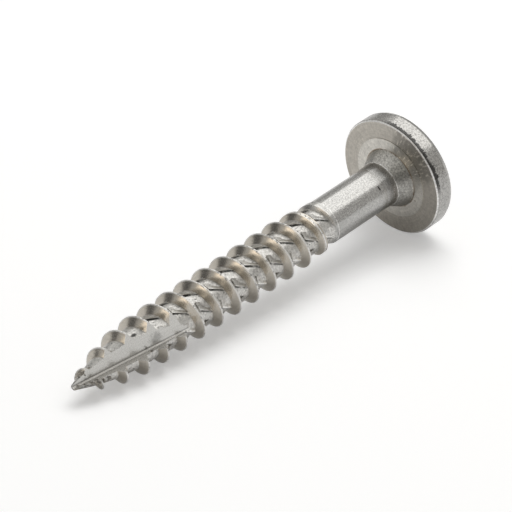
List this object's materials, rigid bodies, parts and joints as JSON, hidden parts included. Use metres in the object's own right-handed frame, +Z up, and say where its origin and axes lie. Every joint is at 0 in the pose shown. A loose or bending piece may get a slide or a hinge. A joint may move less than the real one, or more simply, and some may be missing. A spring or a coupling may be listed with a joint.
{
  "type": "facade screw",
  "caption": "Stainless facade screw with a wide flat six-lobe head, neck collar, smooth shank, coarse right-hand wood thread, ribbed core and notched point.",
  "frame": {"origin": "on the table, under the middle of the lying screw's bounding box", "axes": "+X runs along the lying screw from the point to the head, with the screw's axis tipped up 5.6 degrees towards the head; +Z is up; Y is across"},
  "size_m": [0.0404, 0.011, 0.0111],
  "materials": {
    "stainless_steel": "plain cold-formed and tumbled stainless steel"
  },
  "bodies": {
    "root": {"facade_screw": "stainless_steel"}
  },
  "joints": []
}
